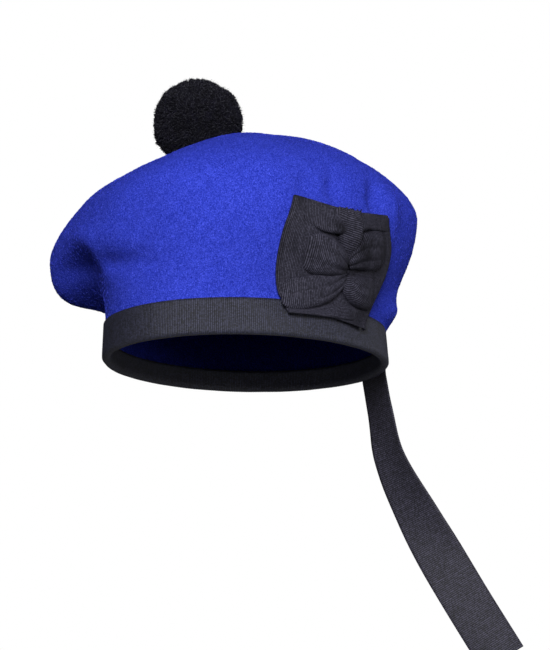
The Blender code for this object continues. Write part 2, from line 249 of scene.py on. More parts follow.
# Loops of the rosette, each from the pinch to its end. Back and up are millimetres on the patch,
# half is half the width, height is how far it puffs up and gather the depth of the pleats.
ROSETTE_LOOPS = {
    "tongue": (
        # back, up, half, height, gather
        (4.0, 35.0, 2.4, 1.6, 0.5),
        (3.5, 40.0, 4.4, 3.0, 0.8),
        (2.5, 45.0, 7.0, 4.8, 0.7),
        (2.0, 50.0, 9.0, 6.0, 0.4),
        (1.5, 56.0, 10.0, 5.8, 0.3),
        (1.0, 61.0, 10.5, 4.0, 0.6),
        (1.0, 65.0, 10.5, 2.6, 1.2),
        (1.0, 66.4, 10.5, 1.8, 1.4),
    ),
    "lower_left_loop": (
        (6.0, 27.5, 3.5, 2.0, 0.8),
        (0.0, 23.6, 6.5, 4.2, 1.2),
        (-9.0, 18.6, 9.0, 5.4, 1.0),
        (-20.0, 14.6, 10.2, 5.0, 0.5),
        (-30.0, 12.2, 10.0, 3.6, 0.2),
        (-36.5, 11.2, 8.6, 2.0, 0.1),
        (-39.6, 10.8, 6.6, 0.9, 0.0),
        (-41.0, 10.6, 4.8, 0.0, 0.0),
    ),
    "lower_right_loop": (
        (7.0, 27.5, 4.0, 2.0, 0.8),
        (11.0, 23.6, 7.2, 4.2, 0.9),
        (18.5, 20.6, 9.6, 5.4, 0.7),
        (27.0, 20.0, 10.4, 4.8, 0.4),
        (32.6, 20.4, 9.4, 3.2, 0.1),
        (35.2, 20.6, 7.6, 1.4, 0.0),
        (36.2, 20.7, 6.4, 0.0, 0.0),
    ),
    "right_loop": (
        (5.0, 35.2, 5.0, 2.2, 1.2),
        (9.0, 39.2, 8.4, 4.0, 1.6),
        (15.5, 43.2, 10.8, 5.2, 1.3),
        (23.5, 45.4, 11.6, 5.6, 0.8),
        (30.5, 46.6, 11.4, 4.6, 0.4),
        (35.0, 47.0, 9.8, 2.6, 0.1),
        (37.2, 47.1, 7.8, 1.2, 0.0),
        (38.0, 47.2, 6.6, 0.0, 0.0),
    ),
    "left_loop": (
        (4.8, 33.0, 5.0, 2.2, 0.8),
        (0.5, 33.8, 7.2, 4.8, 1.4),
        (-7.0, 35.6, 10.0, 6.8, 1.1),
        (-16.0, 36.8, 11.6, 6.2, 0.6),
        (-22.5, 37.4, 11.8, 4.4, 0.3),
        (-26.8, 37.6, 10.4, 2.6, 0.1),
        (-29.0, 37.7, 8.4, 1.1, 0.0),
        (-29.8, 37.7, 6.8, 0.0, 0.0),
    ),
}

# Degrees that a loop's ribs are turned, and how a loop is shaped, in millimetres
LOOP_SLANTS = {"tongue": 14, "lower_right_loop": 32, "lower_left_loop": 8}
LOOP_BASE = 1.1
LOOP_STEP = 0.5
LOOP_WRINKLES = (
    # depth, how many to a millimetre
    (0.35, 0.17),
    (0.7, 0.075),
)
PLEATS = 3

# Folded panel over the loops: lower and upper edge, and how far the lower edge stands off
UPPER_PANEL = (
    # back, lower, upper, stand
    (-36.0, 56.0, 67.4, 0.7),
    (-28.0, 53.0, 66.4, 1.0),
    (-22.0, 50.8, 65.4, 2.8),
    (-14.0, 50.4, 64.6, 4.8),
    (-3.0, 51.6, 64.8, 5.2),
    (8.0, 54.6, 65.4, 4.8),
    (18.0, 57.2, 66.0, 4.0),
    (28.0, 58.2, 66.8, 2.6),
    (39.0, 59.4, 68.0, 0.8),
)

# How a fold is shaped, in millimetres, but for its width on the UV map, in metres
FOLD_BASE = 0.9
FOLD_LEAST = 0.8
FOLD_ROLL = 0.3
FOLD_SETTLE = 0.9
FOLD_WAVE = 0.5
FOLD_STEP = 0.45
FOLD_STEPS = 36
FOLD_WIDTH = 0.016
PUCKERS = (-15.0, 13.0)
PUCKER_FADE = 4
PUCKER_PITCH = 2.3
PUCKER_HEIGHT = 1.2
PUCKER_PULL = 1.3

# Fold along the patch's foot
FOOT_FOLD = (
    # back, lower, upper, stand
    (-36.0, -0.4, 2.0, 1.2),
    (-24.0, -0.4, 5.0, 2.0),
    (-8.0, -0.2, 8.0, 2.6),
    (6.0, 0.4, 11.0, 2.6),
    (14.0, 0.8, 10.0, 1.8),
    (17.0, 1.2, 9.0, 1.2),
)

# Painted shade on the cockade: places where the ribbon's colour is darkened to stand for shade, in the
# gathers, under the folds, at the end of the left loop and along the patch's edges and corners
PAINTED_SHADE_SPOTS = (
    # back, up, reach across, reach up, share of the colour taken away as painted shade
    (17.0, 42.0, 5.5, 13.0, 0.60),
    (6.0, 31.0, 8.0, 6.0, 0.52),
    (-11.0, 54.0, 9.0, 3.5, 0.45),
    (-28.0, 34.0, 6.0, 9.0, 0.25),
    (41.0, 46.0, 18.0, 50.0, 0.40),
    (28.0, 8.0, 12.0, 8.0, 0.40),
    (16.0, 1.0, 10.0, 5.0, 0.30),
    (-40.0, 70.0, 6.0, 7.0, 0.50),
    (-48.0, 38.0, 3.5, 34.0, 0.40),
    (11.5, 45.0, 2.5, 6.0, 0.45),
    (-8.0, 50.0, 3.0, 4.0, 0.45),
)

# Way of the tail below the band, as shares of its drop, sway and turn
TAIL_WAY = (
    # drop, sway, turn
    (0.00, 0.00, 0.00),
    (0.11, 0.04, 0.02),
    (0.28, 0.11, 0.15),
    (0.51, 0.34, 0.60),
    (0.74, 0.62, 1.00),
    (1.00, 0.965, 1.00),
)


# Shared geometry


def between(a, b, share):
    """The value at a share of the way from a to b."""
    return a + (b - a) * share


def clamp(value):
    """A value held between 0 and 1."""
    return min(1, max(0, value))


def ease(share):
    """A share that starts and ends softly."""
    return share * share * (3 - 2 * share)


def smooth(rows, where, column):
    """Smooth value of a column at a place, for rows that start with their own place."""
    last = len(rows) - 1
    low = next((row for row in range(last) if where <= rows[row + 1][0]), last - 1)

    def slope(row):
        """How fast the column grows at a row."""
        before, after = rows[max(row - 1, 0)], rows[min(row + 1, last)]
        return (after[column] - before[column]) / (after[0] - before[0])

    gap = rows[low + 1][0] - rows[low][0]
    share = (where - rows[low][0]) / gap
    leave = gap * slope(low) * share * (1 - share) ** 2
    arrive = gap * slope(low + 1) * share**2 * (1 - share)
    return between(rows[low][column], rows[low + 1][column], ease(share)) + leave - arrive


def new_piece(name, bm, finish):
    """A smooth shaded object made from a bmesh."""
    mesh = bpy.data.meshes.new(name)
    bm.to_mesh(mesh)
    bm.free()
    mesh.materials.append(finish)
    mesh.shade_smooth()
    piece = bpy.data.objects.new(name, mesh)
    bpy.context.scene.collection.objects.link(piece)
    return piece


def dress(piece, slot, *nodes):
    """Fasten a piece to the bonnet and hide the solids that it stands for. Its slot is not used."""
    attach(piece, BODY)
    if nodes:
        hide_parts(*nodes)


def thicken(piece, thickness):
    """Give a sheet its thickness, half on each side."""
    wall = piece.modifiers.new("wall", "SOLIDIFY")
    wall.thickness = thickness
    wall.offset = 0


def finished_mesh(piece):
    """Make the modifiers of a piece final."""
    graph = bpy.context.evaluated_depsgraph_get()
    done = bpy.data.meshes.new_from_object(piece.evaluated_get(graph))
    piece.modifiers.clear()
    piece.data = done


def node_mesh(name):
    """A bmesh of a solid's mesh, merged, with its triangles paired into quads."""
    bm = bmesh.new()
    bm.from_mesh(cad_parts[name].data)
    bmesh.ops.remove_doubles(bm, verts=bm.verts, dist=1e-6)
    bmesh.ops.join_triangles(
        bm, faces=bm.faces, angle_face_threshold=math.pi, angle_shape_threshold=math.pi
    )
    return bm


def ribbon_sheet(name, along_steps, across_steps, length, width, place, finish):
    """A ribbon whose point at a share along and a share across goes where place puts it."""
    bm = bmesh.new()
    bmesh.ops.create_grid(bm, x_segments=along_steps, y_segments=across_steps, size=1)
    uv = bm.loops.layers.uv.new("ribbon")
    for face in bm.faces:
        for corner in face.loops:
            share = (corner.vert.co.xy + Vector((1, 1))) / 2
            corner[uv].uv = (share.x * length, share.y * width)
    for vert in bm.verts:
        vert.co = place((vert.co.x + 1) / 2, (vert.co.y + 1) / 2)
    bmesh.ops.remove_doubles(bm, verts=bm.verts, dist=1e-6)
    return new_piece(name, bm, finish)


def rib(count):
    """How far a rib stands out after a number of ribs, from groove to groove."""
    return -RIB_HEIGHT * math.cos(math.tau * count) / 2


def rib_steps(length):
    """Steps along a ribbon of a length, with whole ribs."""
    return STEPS_PER_RIB * round(length / RIB_PITCH)


# Headband


def round_head(angle, inward, height):
    """A point on the head's oval, inward from the band's outer face at that height."""
    lean = inward + BAND_TAPER * (min(height, BAND_HEIGHT) - BAND_THICKNESS / 2) / BAND_HEIGHT
    across = (HALF_WIDTH - lean) * math.sin(angle)
    return Vector((across, -(HALF_LENGTH - lean) * math.cos(angle), height))


def way_round_head(angle):
    """The way that the head's oval runs at an angle, by the wearer's left to the back."""
    step = math.radians(0.5)
    return (round_head(angle + step, 0, 0) - round_head(angle - step, 0, 0)).normalized()


def band_section(distance):
    """Inward place, height and the way out of the cloth at a distance along the band's section."""
    middle = RIBBON / 2
    radius = BAND_THICKNESS / 2 - middle
    outer_leg = BAND_HEIGHT - BAND_THICKNESS / 2
    bend = math.pi * radius
    if distance < outer_leg:
        return middle, BAND_HEIGHT - distance, -1, 0
    if distance < outer_leg + bend:
        turn = (distance - outer_leg) / radius
        centre = BAND_THICKNESS / 2
        out, down = -math.cos(turn), -math.sin(turn)
        return centre + radius * out, centre + radius * down, out, down
    return BAND_THICKNESS - middle, BAND_THICKNESS / 2 + distance - outer_leg - bend, 1, 0


def make_band(finish):
    """The ribbon folded round the hem of the wool, with ribs across its width."""
    around = math.pi * (HALF_WIDTH + HALF_LENGTH)
    radius = BAND_THICKNESS / 2 - RIBBON / 2
    width = BAND_HEIGHT + BAND_RETURN - BAND_THICKNESS + math.pi * radius
    steps = rib_steps(around)

    def place(along, across):
        """A point of the folded ribbon, pushed out by its ribs and a low wave."""
        angle = math.tau * along
        inward, height, out, up = band_section(across * width)
        spot = Vector((
            math.sin(angle) * BAND_WAVES_ROUND,
            math.cos(angle) * BAND_WAVES_ROUND,
            height * BAND_WAVES_UP,
        ))
        push = rib(along * steps / STEPS_PER_RIB) + BAND_WAVE * noise.noise(spot)
        return round_head(angle, inward + out * push, height + up * push)

    band = ribbon_sheet("band_ribbon", steps, BAND_STEPS, around, width, place, finish)
    thicken(band, RIBBON - RIB_HEIGHT)
    finished_mesh(band)
    dress(band, "band_ribbon", "headband")


# Crown


def make_crown(finish):
    """The felted crown, smoothed, dented and given the soft unevenness of felt."""
    bm = node_mesh("crown")
    crown = new_piece("felt_crown", bm, finish)
    soft = crown.modifiers.new("soft", "SUBSURF")
    soft.levels = soft.render_levels = CROWN_SUBDIVISIONS
    finished_mesh(crown)
    normals = [vert.normal.copy() for vert in crown.data.vertices]
    dents = [
        (Vector(middle), Vector(way).normalized(), length, width, Vector(out).normalized() * depth)
        for _, middle, way, length, width, depth, out in DENTS
    ]
    for vert, normal in zip(crown.data.vertices, normals):
        above = vert.co.z - BAND_HEIGHT
        wave = noise.noise(vert.co / FELT_WAVE_SIZE) * FELT_WAVE
        lump = noise.noise(vert.co / FELT_LUMP_SIZE) * FELT_LUMP
        push = normal * clamp(above / FELT_FREE) * (wave + lump)
        for middle, way, half_length, half_width, dent in dents:
            away = vert.co - middle
            along = away.dot(way)
            across = away.length_squared - along * along
            if across < (DENT_REACH * half_width) ** 2:
                share = math.exp(-((along / half_length) ** 2) - across / half_width**2)
                push -= dent * share * clamp(above / DENT_FREE)
        vert.co += push
    crown.data.materials.clear()
    crown.data.materials.append(finish)
    dress(crown, "wool", "crown")
    return crown


# Cockade


class Wall:
    """The face of the cockade's patch, as a smooth surface over its upright plane."""

    across_power = 4
    up_power = 3
    facing = 0.3

    def __init__(self):
        self.back = way_round_head(COCKADE_ANGLE)
        self.out = self.back.cross(Vector((0, 0, 1)))
        low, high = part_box("cockade_patch")
        self.middle = Vector(((low.x + high.x) / 2, (low.y + high.y) / 2, COCKADE_FOOT))
        bm = node_mesh("cockade_patch")
        bm.normal_update()
        places = [vert.co - self.middle for vert in bm.verts if self.is_outer(vert)]
        bm.free()
        terms = np.array([self.terms(place.dot(self.back), place.z) for place in places])
        depth = np.array([place.dot(self.out) for place in places])
        self.weights = np.linalg.lstsq(terms, depth, rcond=None)[0]

    def is_outer(self, vert):
        """Whether a vertex of the patch is on its outer side."""
        return any(face.normal.dot(self.out) > self.facing for face in vert.link_faces)

    def terms(self, back, up):
        """Powers of the two places on the plane, in units of the cockade's height."""
        x, y = back / COCKADE_HEIGHT, up / COCKADE_HEIGHT
        return [x**i * y**j for i in range(self.across_power + 1) for j in range(self.up_power + 1)]

    def face(self, back, up):
        """The point of the patch's face at a place on its plane."""
        depth = float(np.dot(self.weights, self.terms(back, up)))
        return self.middle + self.back * back + self.out * depth + Vector((0, 0, up))

    def point(self, back, up, lift):
        """A point at a height off the patch's face."""
        across = self.face(back + MM, up) - self.face(back - MM, up)
        rise = self.face(back, up + MM) - self.face(back, up - MM)
        return self.face(back, up) + across.cross(rise).normalized() * lift


def paint_shade(piece, wall):
    """Store painted shade on each point of a piece of the cockade, as the share of its colour that is kept.
    """
    # Painted shade: the light attribute darkens the ribbon's colour in the gathers, under the folds and
    # along the patch's edges
    light = piece.data.attributes.new("light", "FLOAT", "POINT")
    for vert, item in zip(piece.data.vertices, light.data):
        place = vert.co - wall.middle
        back, up = place.dot(wall.back) / MM, place.z / MM
        lost = 0.0
        for middle, height, across, along, share in PAINTED_SHADE_SPOTS:
            lost += share * math.exp(-(((back - middle) / across) ** 2) - ((up - height) / along) ** 2)
        item.value = max(LEAST_PAINTED_LIGHT, 1 - lost)


def turn_ribs(piece, slant):
    """Turn the ribs of a ribbon by an angle."""
    for item in piece.data.uv_layers.active.data:
        u, v = item.uv
        item.uv = (u * math.cos(slant) - v * math.sin(slant), u * math.sin(slant) + v * math.cos(slant))


def sew_on(piece, slant, wall, node):
    """Finish a ribbon of the cockade: its slant, its painted shade, its thickness and its place."""
    turn_ribs(piece, slant)
    paint_shade(piece, wall)
    thicken(piece, ROSETTE_RIBBON)
    finished_mesh(piece)
    dress(piece, "cockade_ribbon", node)


def make_patch(finish, wall):
    """The square of ribbon behind the rosette, with its edges turned under."""
    steps = STEPS_PER_RIB * round(PATCH_WIDTH / COCKADE_PITCH)
    hem_share = HEM / PATCH_WIDTH

    def place(along, across):
        """A point of the patch, on its face or turned under at an edge."""
        inside = along * (1 + 2 * hem_share) - hem_share
        kept = clamp(inside)
        under = abs(inside - kept) * PATCH_WIDTH
        up = across * COCKADE_HEIGHT
        left, right = (smooth(PATCH_SIDES, up / MM, column) * MM for column in (1, 2))
        tuck = min(under, HEM_TUCK)
        side = 1 if inside > 0.5 else -1
        back = between(left, right, kept) - side * max(0, under - tuck)
        edge = min(kept, 1 - kept) * PATCH_WIDTH
        ripple = PATCH_RIPPLE * noise.noise(Vector((back * 60, up * 45, 3.0)))
        lift = PATCH_LIFT + ripple - EDGE_ROUND * math.exp(-edge / EDGE_REACH) - tuck * HEM_SINK
        lift += rib(along * steps / STEPS_PER_RIB)
        dip = PATCH_DIP * math.sin(math.pi * kept) * across**6
        corner = CORNER_DROP * max(0, kept - CORNER_START) / (1 - CORNER_START) * (1 - across) ** 5
        return wall.point(back, up - dip - corner, lift)

    width = PATCH_WIDTH + 2 * HEM
    patch = ribbon_sheet(
        "cockade_patch_ribbon", steps, COCKADE_STEPS, width, COCKADE_HEIGHT, place, finish
    )
    sew_on(patch, 0, wall, "cockade_patch")


def run_of(rows):
    """Rows of a loop with the distance along its middle put in front of each."""
    run = 0.0
    table = [(run, *rows[0])]
    for before, after in zip(rows, rows[1:]):
        run += math.dist(before[:2], after[:2])
        table.append((run, *after))
    return table


def loop_sheet(name, rows, finish, wall):
    """A loop of ribbon, gathered at the pinch and puffed up to its end."""
    table = run_of(rows)
    length = table[-1][0]
    slant = math.radians(LOOP_SLANTS.get(name, 0))
    seed = len(name)

    def put(along, across):
        """A point of the loop: a dome over its middle line, with pleats and wrinkles."""
        distance = along * length
        back, up, half, height, gather = (smooth(table, distance, column) for column in range(1, 6))
        start, end = max(0, distance - 1), min(length, distance + 1)
        way = Vector([smooth(table, end, column) - smooth(table, start, column) for column in (1, 2)])
        way.normalize()
        side = Vector((-way.y, way.x))
        turn = (across - 0.5) * math.pi
        reach = math.copysign(abs(math.sin(turn)) ** 0.9, turn)
        dome = math.cos(turn) ** 0.75 if across not in (0, 1) else 0
        spot = Vector((back, up)) + side * half * reach
        pleat = gather * (abs(math.cos(math.pi * PLEATS * reach / 2 + seed)) - 1)
        place = Vector((spot.x, spot.y, seed * 9))
        wrinkle = sum(depth * noise.noise(place * rate) for depth, rate in LOOP_WRINKLES)
        rise = LOOP_BASE + dome * max(0.2, height + pleat + wrinkle * min(1, height / 3))
        return wall.point(spot.x * MM, spot.y * MM, rise * MM)

    widest = 2 * max(row[2] for row in rows)
    steps = round(length / LOOP_STEP)
    piece = ribbon_sheet(name, steps, COCKADE_STEPS, length * MM, widest * MM, put, finish)
    sew_on(piece, slant, wall, "cockade_rosette")


def fold_sheet(name, rows, ruffle, slant, finish, wall):
    """A fold across the patch: its lower edge rolls under and its upper edge lies flat."""
    start, end = rows[0][0], rows[-1][0]

    def put(along, across):
        """A point of the fold, with puckers along its upper edge where it is ruffled."""
        back = between(start, end, along)
        lower, upper, stand = (smooth(rows, back, column) for column in (1, 2, 3))
        flat = max(0, (across - FOLD_ROLL) / (1 - FOLD_ROLL))
        radius = (stand - ROSETTE_RIBBON / MM) / 2
        turn = min(1, across / FOLD_ROLL) * math.pi
        up = lower + radius - radius * math.sin(turn) + (upper - lower - radius) * flat
        lift = FOLD_BASE + radius - radius * math.cos(turn)
        lift -= (stand - FOLD_LEAST) * ease(flat) * FOLD_SETTLE
        inside = clamp((back - PUCKERS[0]) / PUCKER_FADE) * clamp((PUCKERS[1] - back) / PUCKER_FADE)
        gathered = ruffle * inside * flat**6
        wave = math.sin(math.tau * back / PUCKER_PITCH + 2.2 * math.sin(back * 0.8))
        wave += 0.8 * noise.noise(Vector((back * 0.5, 2.0, 5.0)))
        lift += PUCKER_HEIGHT * (wave + 0.6) * gathered
        up += PUCKER_PULL * (wave + 0.5) * gathered
        unevenness = noise.noise(Vector((back * 0.10, up * 0.14, len(name))))
        lift += FOLD_WAVE * unevenness * min(1, stand / 3)
        return wall.point(back * MM, up * MM, max(FOLD_LEAST, lift) * MM)

    steps = round((end - start) / FOLD_STEP)
    piece = ribbon_sheet(name, steps, FOLD_STEPS, (end - start) * MM, FOLD_WIDTH, put, finish)
    sew_on(piece, slant, wall, "cockade_rosette")


def make_rosette(finish, wall):
    """The loops and folds of ribbon that are gathered in the middle of the patch."""
    for name, rows in ROSETTE_LOOPS.items():
        loop_sheet(name, rows, finish, wall)
    fold_sheet("upper_panel", UPPER_PANEL, 1, 0, finish, wall)
    fold_sheet("foot_fold", FOOT_FOLD, 0, math.radians(76), finish, wall)


# Tail


def tail_frame(distance):
    """The middle of the tail and the way of its width at a distance from its sewn end."""
    ahead = -way_round_head(TAIL_ANGLE)
    seam = FIT + TAIL_THICKNESS / 2
    if distance <= TAIL_SEWN:
        return round_head(TAIL_ANGLE, -seam, TAIL_SEWN - distance), ahead
    share = (distance - TAIL_SEWN) / TAIL_DROP
    sway = TAIL_SWAY * smooth(TAIL_WAY, share, 1)
    heading = Vector((math.sin(TAIL_SWAY_HEADING), -math.cos(TAIL_SWAY_HEADING), 0))
    middle = round_head(TAIL_ANGLE, -seam, 0) + heading * sway - Vector((0, 0, TAIL_DROP * share))
    turn = math.atan2(ahead.y, ahead.x) + TAIL_TURN * smooth(TAIL_WAY, share, 2)
    return middle, Vector((math.cos(turn), math.sin(turn), 0))


def make_tail(finish):
    """The tail that is sewn on the band and hangs behind, with ribs across its width."""
    whole = TAIL_SEWN + TAIL_DROP
    middles = [tail_frame(whole * number / TAIL_SAMPLES)[0] for number in range(TAIL_SAMPLES + 1)]
    run = [0.0]
    for before, after in zip(middles, middles[1:]):
        run.append(run[-1] + (after - before).length)
    length = run[-1]

    def place(along, across):
        """A point of the tail, cupped a little and rippled where it hangs free."""
        distance = along * length
        index = min(TAIL_SAMPLES - 1, int(np.searchsorted(run, distance, side="right")) - 1)
        share = (distance - run[index]) / (run[index + 1] - run[index])
        where = whole * (index + share) / TAIL_SAMPLES
        middle, width = tail_frame(where)
        near = MM / 2
        down = tail_frame(min(whole, where + near))[0] - tail_frame(max(0, where - near))[0]
        down.normalize()
        width = (width - down * width.dot(down)).normalized()
        side = across * 2 - 1
        hang = clamp((where - TAIL_SEWN) / TAIL_LOOSE)
        cup = TAIL_CUP * hang * (side * side - 0.33) * math.sin(where * 22)
        ripple = TAIL_RIPPLE * hang * noise.noise(Vector((where * 38, side * 0.7, 1.5)))
        push = cup + ripple + rib(distance / RIB_PITCH) * TAIL_RIB_SHARE
        return middle + width * side * TAIL_WIDTH / 2 + down.cross(width) * push

    tail = ribbon_sheet(
        "tail_ribbon", rib_steps(length), TAIL_STEPS, length, TAIL_WIDTH, place, finish
    )
    thicken(tail, TAIL_THICKNESS - RIB_HEIGHT)
    finished_mesh(tail)
    dress(tail, "tail_ribbon", "ribbon_tail")


# Yarn and nap


def make_yarn(name, curl, finish):
    """A round end of yarn along +Z, bent sideways by a curl in x and y, as a pattern to be strewn."""
    bm = bmesh.new()
    bmesh.ops.create_circle(bm, segments=YARN_SIDES, radius=YARN_RADIUS)
    edges = list(bm.edges)
    for step in range(1, YARN_STEPS + 1):
        grown = bmesh.ops.extrude_edge_only(bm, edges=edges)["geom"]
        verts = [item for item in grown if isinstance(item, bmesh.types.BMVert)]
        fresh = set(verts)
        edges = [item for item in grown if isinstance(item, bmesh.types.BMEdge)]
        edges = [edge for edge in edges if set(edge.verts) <= fresh]
        bend = Vector(curl) * (2 * step - 1) / YARN_STEPS**2
        bmesh.ops.translate(bm, verts=verts, vec=(bend.x, bend.y, YARN_LENGTH / YARN_STEPS))
    bmesh.ops.edgeloop_fill(bm, edges=edges)
    bmesh.ops.recalc_face_normals(bm, faces=bm.faces)
    return new_piece(name, bm, finish)


def make_fibre(name, length, width, curl, steps, finish):
    """A flat fibre along +Z, narrow at its tip and bent as the yarn is, as a pattern to be strewn."""
    bm = bmesh.new()
    bmesh.ops.create_grid(bm, x_segments=1, y_segments=steps, size=1)
    for vert in bm.verts:
        share = (vert.co.y + 1) / 2
        side = -vert.co.x * width / 2 * (FIBRE_TIP if share == 1 else 1)
        vert.co = (side + curl[0] * share**2, curl[1] * share**2, length * share)
    return new_piece(name, bm, finish)


def strew(name, skin, hairs, count, lean, sizes, seed, finish):
    """Strands on a skin's faces, leaning off its normals, as one mesh."""
    group = bpy.data.node_groups.new(name, "GeometryNodeTree")
    group.interface.new_socket("Geometry", in_out="INPUT", socket_type="NodeSocketGeometry")
    group.interface.new_socket("Geometry", in_out="OUTPUT", socket_type="NodeSocketGeometry")
    add, link = group.nodes.new, group.links.new
    source, result = add("NodeGroupInput"), add("NodeGroupOutput")
    scatter = add("GeometryNodeDistributePointsOnFaces")
    area = sum(face.area for face in skin.data.polygons)
    scatter.inputs["Density"].default_value = count / area
    scatter.inputs["Seed"].default_value = seed
    link(source.outputs[0], scatter.inputs["Mesh"])
    patterns = bpy.data.collections.new(name)
    for hair in hairs:
        bpy.context.scene.collection.objects.unlink(hair)
        patterns.objects.link(hair)
    choice = add("GeometryNodeCollectionInfo")
    choice.inputs["Collection"].default_value = patterns
    choice.inputs["Separate Children"].default_value = True
    choice.inputs["Reset Children"].default_value = True

    def draw(kind, low, high, number):
        """A random value for each strand."""
        node = add("FunctionNodeRandomValue")
        node.data_type = kind
        node.inputs["Min"].default_value = low
        node.inputs["Max"].default_value = high
        node.inputs["Seed"].default_value = seed + number
        return node.outputs["Value"]

    def turned(rotation, turn):
        """A rotation with another one in its own axes after it."""
        node = add("FunctionNodeRotateRotation")
        node.rotation_space = "LOCAL"
        link(rotation, node.inputs["Rotation"])
        link(turn, node.inputs["Rotate By"])
        return node.outputs[0]

    leaning = draw("FLOAT_VECTOR", (0, lean[0], 0), (0, lean[1], 0), 1)
    around = draw("FLOAT_VECTOR", (0, 0, 0), (0, 0, math.tau), 2)
    plant = add("GeometryNodeInstanceOnPoints")
    plant.inputs["Pick Instance"].default_value = True
    link(scatter.outputs["Points"], plant.inputs["Points"])
    link(choice.outputs[0], plant.inputs["Instance"])
    link(turned(turned(scatter.outputs["Rotation"], around), leaning), plant.inputs["Rotation"])
    link(draw("FLOAT", *sizes, 3), plant.inputs["Scale"])
    real = add("GeometryNodeRealizeInstances")
    link(plant.outputs[0], real.inputs[0])
    link(real.outputs[0], result.inputs[0])
    skin.modifiers.new(name, "NODES").node_group = group
    finished_mesh(skin)
    skin.name = name
    skin.data.materials.clear()
    skin.data.materials.append(finish)
    for hair in hairs:
        bpy.data.objects.remove(hair)
    bpy.data.collections.remove(patterns)
    return skin


def make_nap(finish, crown):
    """Fine fibres that lie on the outer side of the felt."""
    bm = bmesh.new()
    bm.from_mesh(crown.data)
    band_top = BAND_HEIGHT + FIT
    inner = [face for face in bm.faces
             if face.normal.dot(face.calc_center_median() - CROWN_HOLLOW) < 0
             or face.calc_center_median().z < band_top]
    bmesh.ops.delete(bm, geom=inner, context="FACES")
    skin = new_piece("felt_nap", bm, finish)
    hairs = [make_fibre(f"fibre_{number}", NAP_LENGTH, NAP_WIDTH, (NAP_BEND, curl), NAP_STEPS, finish)
             for number, curl in enumerate(NAP_CURLS)]
    nap = strew("felt_nap", skin, hairs, NAP_FIBRES, NAP_LEAN, NAP_SIZES, NAP_SEED, finish)
    dress(nap, "wool")


def make_toorie(yarn, stray, crown):
    """The pompom: a dark heart, thousands of yarn ends and their stray fibres."""
    low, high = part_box("toorie")
    centre = Vector(((low.x + high.x) / 2, (low.y + high.y) / 2, high.z - TOORIE_RADIUS))
    bm = bmesh.new()
    bm.from_mesh(crown.data)
    seat = BVHTree.FromBMesh(bm)
    bm.free()

    def ball(name, detail, finish):
        """A lumpy ball at the toorie's place."""
        shape = bmesh.new()
        bmesh.ops.create_icosphere(shape, subdivisions=detail, radius=HEART_RADIUS)
        for vert in shape.verts:
            way = vert.co.normalized()
            for size, height in HEART_LUMPS:
                vert.co += way * height * noise.noise(way * HEART_RADIUS / size + LUMP_PLACE)
        bmesh.ops.translate(shape, verts=shape.verts, vec=centre)
        return new_piece(name, shape, finish)

    def settle(piece):
        """Lift the points that are under the felt on to it, and fasten the piece."""
        down = Vector((0, 0, -1))
        for vert in piece.data.vertices:
            if vert.co.z < centre.z:
                above = Vector((vert.co.x, vert.co.y, centre.z + SEAT_SEARCH))
                floor = seat.ray_cast(above, down)[0]
                if floor is not None:
                    vert.co.z = max(vert.co.z, floor.z + FIT)
        dress(piece, "yarn", "toorie")

    settle(ball("toorie_heart", HEART_DETAIL, yarn))
    ends = [make_yarn(f"yarn_{number}", curl, yarn) for number, curl in enumerate(YARN_CURLS)]
    settle(strew("toorie_yarn", ball("toorie_yarn", SKIN_DETAIL, yarn), ends, YARN_ENDS,
                 YARN_LEAN, YARN_SIZES, YARN_SEED, yarn))
    hairs = [make_fibre(f"stray_{number}", STRAY_LENGTH, STRAY_WIDTH, curl, STRAY_STEPS, stray)
             for number, curl in enumerate(STRAY_CURLS)]
    settle(strew("toorie_fuzz", ball("toorie_fuzz", SKIN_DETAIL, stray), hairs, STRAY_FIBRES,
                 STRAY_LEAN, STRAY_SIZES, STRAY_SEED, stray))


# Materials


def math_on(tree, operation, *items):
    """The output of a math node on numbers and on other outputs."""
    node = tree.nodes.new("ShaderNodeMath")
    node.operation = operation
    for item, spot in zip(items, node.inputs):
        if isinstance(item, (int, float)):
            spot.default_value = item
        else:
            tree.links.new(item, spot)
    return node.outputs[0]


def new_group(name, place, sizes, results):
    """A node group that takes a place and some sizes, with what it is given and what it gives."""
    group = bpy.data.node_groups.new(name, "ShaderNodeTree")
    sockets = group.interface
    sockets.new_socket(place, in_out="INPUT", socket_type="NodeSocketVector")
    for size, usual in sizes.items():
        made = sockets.new_socket(size, in_out="INPUT", socket_type="NodeSocketFloat")
        made.default_value = usual
    for result in results:
        sockets.new_socket(result, in_out="OUTPUT", socket_type="NodeSocketFloat")
    given = group.nodes.new("NodeGroupInput").outputs
    return group, given, group.nodes.new("NodeGroupOutput").inputs


